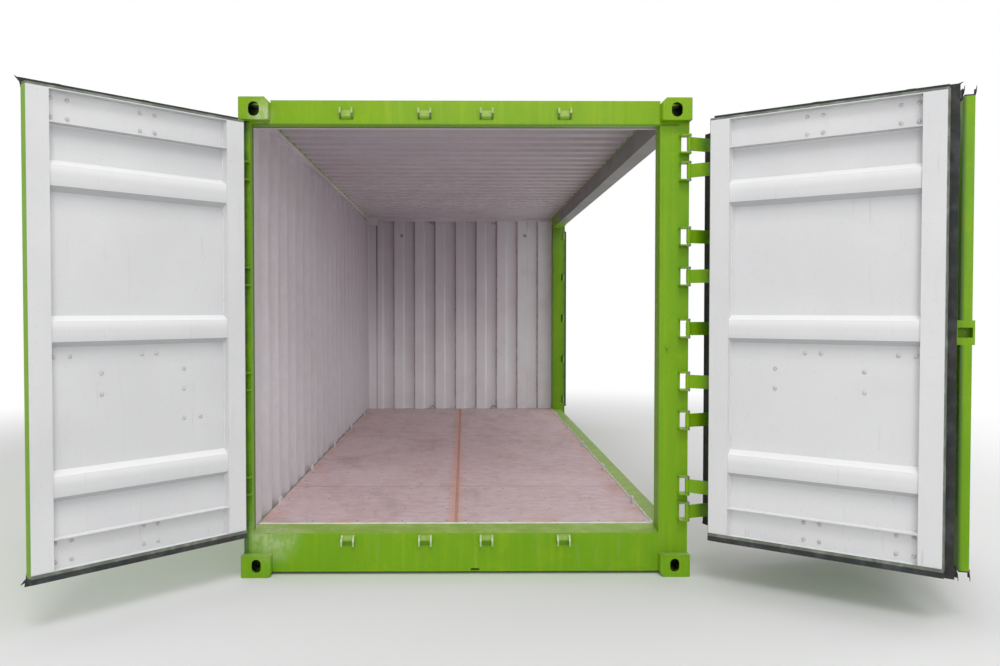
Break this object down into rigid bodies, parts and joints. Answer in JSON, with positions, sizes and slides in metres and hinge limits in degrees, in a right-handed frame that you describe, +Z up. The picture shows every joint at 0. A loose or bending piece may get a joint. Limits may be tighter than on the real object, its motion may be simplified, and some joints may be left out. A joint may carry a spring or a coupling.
{
  "type": "shipping container",
  "caption": "Open-side steel shipping container with hinged end doors, folding side doors, corrugated walls, plywood floor, corner fittings and forklift pockets.",
  "frame": {"origin": "middle of the pattern of the four bottom fitting slots, on the plane of the fittings' feet", "axes": "+X along the length, away from the end doors; -Y towards the open side; +Z up"},
  "size_m": [8.504, 4.7274, 2.591],
  "materials": {
    "green_paint": "satin lime green paint",
    "white_paint": "satin white paint, dusty",
    "door_rubber": "matt black rubber",
    "floor_plywood": "worn plywood",
    "bare_steel": "rusty steel",
    "zinc_steel": "zinc coated"
  },
  "bodies": {
    "container": {"bottom_corner_fittings": "green_paint", "top_corner_fittings": "green_paint", "left_front_post": "green_paint", "right_front_post": "green_paint", "left_rear_post": "green_paint", "right_rear_post": "green_paint", "door_header": "green_paint", "door_sill": "green_paint", "rear_top_rail": "green_paint", "rear_bottom_rail": "green_paint", "left_top_rail": "green_paint", "right_top_rail": "green_paint", "left_bottom_rail": "green_paint", "right_bottom_rail": "green_paint", "forklift_pockets": "green_paint", "cross_members": "green_paint", "floor_boards": "floor_plywood", "floor_centre_strip": "bare_steel", "roof_panel": "white_paint", "left_side_wall": "white_paint", "rear_wall": "white_paint", "hinge_pins": "zinc_steel", "fold_pins": "zinc_steel", "end_keepers": "green_paint", "side_keepers": "green_paint", "lashing_rings": "white_paint", "front_side_frames": "green_paint", "front_side_panels": "white_paint", "front_side_seals": "door_rubber", "front_side_hinges": "green_paint", "front_side_lock_rods": "green_paint", "front_side_rod_fittings": "green_paint", "rear_side_frames": "green_paint", "rear_side_panels": "white_paint", "rear_side_seals": "door_rubber", "rear_side_hinges": "green_paint", "rear_side_lock_rods": "green_paint", "rear_side_rod_fittings": "green_paint", "lock_box": "green_paint"},
    "left_door": {"left_door_frame": "green_paint", "left_door_panel": "white_paint", "left_door_seal": "door_rubber", "left_door_hinges": "green_paint", "left_door_lock_rods": "green_paint", "left_door_rod_fittings": "green_paint"},
    "right_door": {"right_door_frame": "green_paint", "right_door_panel": "white_paint", "right_door_seal": "door_rubber", "right_door_hinges": "green_paint", "right_door_lock_rods": "green_paint", "right_door_rod_fittings": "green_paint"}
  },
  "joints": [
    {"name": "left_door_hinge", "type": "hinge", "parent": "container", "child": "left_door", "pos_m": [-3.014, 1.204, 1.35], "axis": [0, 0, -1], "range_deg": [-132.6, 132.4]},
    {"name": "right_door_hinge", "type": "hinge", "parent": "container", "child": "right_door", "pos_m": [-3.014, -1.204, 1.35], "axis": [0, 0, 1], "range_deg": [-142.7, 0]}
  ]
}
